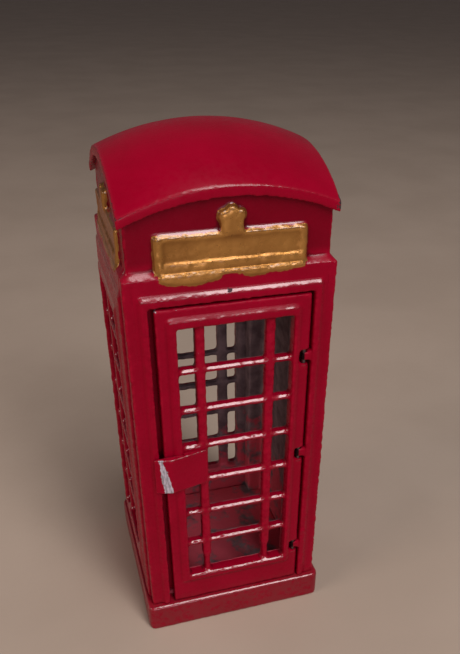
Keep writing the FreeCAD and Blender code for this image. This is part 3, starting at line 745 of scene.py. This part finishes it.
def make_base(material):
    """The foot, with a worn upper edge in front, and bare inside and below."""
    skin = enamelled("base_plate", BASE_VOXEL, rounding=0.45, bead=0.05, film=0.0, soft=0.5)
    mesh, points, lean = skin.piece.data, skin.points, skin.normals[:, 2]
    inside = inner_share(points, BASE_BARE_WITHIN) * ease(lean, 0.2, 0.6)
    below = ease(-lean, 0.5, 0.9) * until(points[:, 2], 0.2, 2.0)
    store(mesh, "bare", np.maximum(inside, below))
    front_edge = ease(-points[:, 1], 21.6, 22.4) * ease(points[:, 2], 6.4, 7.2)
    store(mesh, "wear", 0.12 * front_edge)
    finish_piece(skin.piece, "booth", "base_plate", material)


def muntin_plump(points, normals):
    """How far the enamel widens the door's muntins, for each point, along X."""
    sideways = np.sign(normals[:, 0]) * ease(np.abs(normals[:, 0]), 0.3, 0.7)
    from_muntin = np.abs(np.abs(points[:, 0] - GLAZING_MIDDLE) - MUNTIN_MIDDLE)
    in_glazing = ease(points[:, 2], GLAZING_FOOT, GLAZING_FOOT + 2.0)
    return MUNTIN_PLUMP * sideways * until(from_muntin, 1.1, 1.5) * in_glazing


def make_door(material):
    """The door: red in front, bare behind, and chipped at its upper left corner."""
    skin = enamelled(
        "door",
        DOOR_VOXEL,
        rounding=0.50,
        bead=0.09,
        film=0.10,
        soft=1.0,
        soft_below=DOOR_SHELTERED,
        gloss_below=DOOR_SHELTERED,
    )
    mesh, points = skin.piece.data, skin.points
    points[:, 0] += muntin_plump(points, skin.normals)
    move_to(mesh, points)
    store(mesh, "gloss", np.where(at_hinge_eyes(points), 0.0, skin.gloss))
    store(mesh, "bare", ease(points[:, 1], DOOR_BACK - 0.25, DOOR_BACK + 0.25))
    store(mesh, "wear", 0.35 * ease(points[:, 2], 86.3, 87.0) * ease(-points[:, 0], 8.0, 9.0))
    finish_piece(skin.piece, "door", "door", material)


def make_pull(material):
    """The finger pull, whose left bevel is rubbed down to bare metal in a stripe that widens downwards."""
    skin = enamelled("door_pull", PULL_VOXEL, rounding=0.30, bead=0.04)
    points = skin.points
    low, high = in_mm(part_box("door_pull"))
    rise = (points[:, 2] - low[2]) / (high[2] - low[2])
    ragged = 0.20 * lumps(points, 1.1, 61) + 0.16 * lumps(points, 0.35, 62)
    left = STRIPE_LEFT[0] + STRIPE_LEFT[1] * rise
    right = STRIPE_RIGHT[0] + STRIPE_RIGHT[1] * np.clip(rise, 0.0, 1.0) ** STRIPE_BEND
    inside = np.minimum(points[:, 0] - left, right - points[:, 0])
    stripe = ease(inside + ragged, -STRIPE_BLUR, STRIPE_BLUR)
    store(skin.piece.data, "wear", 1.6 * stripe * ease(-skin.normals[:, 1], 0.2, 0.4))
    finish_piece(skin.piece, "door", "door_pull", material)


def make_screws(material):
    """The four screws under the foot."""
    piece = dense_copy("base_screws", "base_screws_turned", SCREW_VOXEL)
    start = vectors_of(piece.data.vertices, "co") / MM
    move_to(piece.data, averaged(piece.data, start, 2))
    finish_piece(piece, "booth", "base_screws", material)


def pin_outline(low, high):
    """The hinge wire's outline, as (share of its thickness, height): domed ends, and faint draw marks."""
    dome = [(0.02, 0.0), (0.30, 0.02), (0.45, 0.10), (0.49, 0.25)]
    outline = [(share, low + rise) for share, rise in dome]
    outline += [(0.5 - 0.012 * (step % 2), low + 1.0 + step * 2.5) for step in range(25)]
    return outline + [(share, high - rise) for share, rise in reversed(dome)]


def make_pin(material):
    """The hinge's steel wire, turned about its own axis."""
    low, high = in_mm(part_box("hinge_pin"))
    middle = (low + high) / 2.0
    thickness = high[0] - low[0]
    ring = 24
    angles = np.arange(ring) * 2.0 * np.pi / ring
    circle = np.stack([np.cos(angles), np.sin(angles)], axis=1)
    shape = bmesh.new()
    rows = []
    for share, height in pin_outline(low[2], high[2]):
        places = [(*(middle[:2] + share * thickness * side), height) for side in circle]
        rows.append([shape.verts.new(Vector(place) * MM) for place in places])
    for lower, upper in zip(rows, rows[1:]):
        for step in range(ring):
            following = (step + 1) % ring
            shape.faces.new((lower[step], lower[following], upper[following], upper[step]))
    shape.faces.new(list(reversed(rows[0])))
    shape.faces.new(rows[-1])
    mesh = bpy.data.meshes.new("hinge_pin_wire")
    shape.to_mesh(mesh)
    shape.free()
    mesh.polygons.foreach_set("use_smooth", np.ones(len(mesh.polygons), bool))
    piece = bpy.data.objects.new("hinge_pin_wire", mesh)
    bpy.context.scene.collection.objects.link(piece)
    finish_piece(piece, "door", "hinge_pin", material)


# ---------------------------------------------------------------- stage

FLOOR_REACH = 6.0
LIGHTS_LOOK_AT = (0.0, 0.0, 0.06)
CAMERA_TARGET = (0.010195, 0.0, 0.041082)
CAMERA_DISTANCE = 0.179015
CAMERA_AZIMUTH = -0.3010
CAMERA_ELEVATION = 0.6022
CAMERA_ROLL = 0.01128
CAMERA_LENS = 38.02
CAMERA_SHIFT = (-0.0306, 0.1575)


def outward(azimuth, elevation):
    """The direction away from the booth at two angles in radians. Azimuth 0 is in front of the door."""
    level = np.cos(elevation)
    return Vector((np.sin(azimuth) * level, -np.cos(azimuth) * level, np.sin(elevation)))


def make_floor():
    """A wide pale floor at the booth's foot."""
    mesh = bpy.data.meshes.new("floor")
    corners = [(-1.0, -1.0), (1.0, -1.0), (1.0, 1.0), (-1.0, 1.0)]
    mesh.from_pydata([(x * FLOOR_REACH, y * FLOOR_REACH, 0.0) for x, y in corners], [], [(0, 1, 2, 3)])
    floor = bpy.data.objects.new("floor", mesh)
    bpy.context.scene.collection.objects.link(floor)
    mesh.materials.append(pale_floor())


def make_light(name, azimuth, elevation, distance, size, power, colour):
    """A soft oblong light that looks at the booth. Its angles are degrees, and azimuth 90 is to the right."""
    data = bpy.data.lights.new(name, "AREA")
    data.shape = "RECTANGLE"
    data.size, data.size_y = size
    data.energy = power
    data.color = colour
    direction = outward(np.radians(azimuth), np.radians(elevation))
    lamp = bpy.data.objects.new(name, data)
    lamp.location = Vector(LIGHTS_LOOK_AT) + direction * distance
    lamp.rotation_euler = (-direction).to_track_quat("-Z", "Y").to_euler()
    bpy.context.scene.collection.objects.link(lamp)


def make_lights():
    """A tall key light that draws the upper edges, a low one that reaches inside, and a warm fill."""
    make_light("Key", 19.5, 56.0, 0.75, (0.20, 0.82), 4.7, (1.0, 0.95, 0.94))
    make_light("Front", -4.0, 10.0, 0.8, (0.3, 0.3), 0.9, (1.0, 0.90, 0.98))
    make_light("Fill", -74.0, 25.0, 0.9, (0.4, 0.4), 2.5, (1.0, 0.84, 0.76))


def make_world():
    """Dim, slightly pink surroundings."""
    world = bpy.data.worlds.new("Studio")
    world.use_nodes = True
    background = world.node_tree.nodes["Background"]
    background.inputs["Color"].default_value = (1.0, 0.90, 0.93, 1.0)
    background.inputs["Strength"].default_value = 0.09
    bpy.context.scene.world = world


def make_camera():
    """The photographer's view: from above and a little to the left of the door."""
    back = outward(CAMERA_AZIMUTH, CAMERA_ELEVATION)
    level = (-back).cross(Vector((0.0, 0.0, 1.0))).normalized()
    rise = level.cross(-back)
    right = level * np.cos(CAMERA_ROLL) + rise * np.sin(CAMERA_ROLL)
    up = rise * np.cos(CAMERA_ROLL) - level * np.sin(CAMERA_ROLL)
    data = bpy.data.cameras.new("Camera")
    data.sensor_width = 36.0
    data.lens = CAMERA_LENS
    data.shift_x, data.shift_y = CAMERA_SHIFT
    data.clip_start, data.clip_end = 0.005, 30.0
    place = Matrix.Translation(Vector(CAMERA_TARGET) + back * CAMERA_DISTANCE)
    camera = bpy.data.objects.new("Camera", data)
    camera.matrix_world = place @ Matrix((right, up, back)).transposed().to_4x4()
    bpy.context.scene.collection.objects.link(camera)
    bpy.context.scene.camera = camera


def main():
    """Builds the booth's looks and the stage round it."""
    walls = cast_enamel("Enamel_gold_sign", wear=0.0, dark_chips=1.1, gold=True)
    plain = cast_enamel("Enamel", wear=0.0, dark_chips=0.3)
    roof = cast_enamel("Enamel_roof", wear=0.1, dark_chips=1.2)
    rubbed = cast_enamel("Enamel_rubbed", wear=0.0, dark_chips=-1.5)
    for node in QUARTER_TURNS:
        make_wall(node, walls)
    make_roof(roof)
    make_base(plain)
    make_door(plain)
    make_pull(rubbed)
    make_screws(drawn_steel("Screw_steel", *STEEL))
    # Painted shade: the wire is given dark steel, as it sits in the shadow of the hinge notches.
    make_pin(drawn_steel("Steel_wire", *STEEL_IN_PAINTED_SHADE))
    make_floor()
    make_lights()
    make_world()
    make_camera()
    bpy.context.scene.view_settings.view_transform = "Standard"


main()
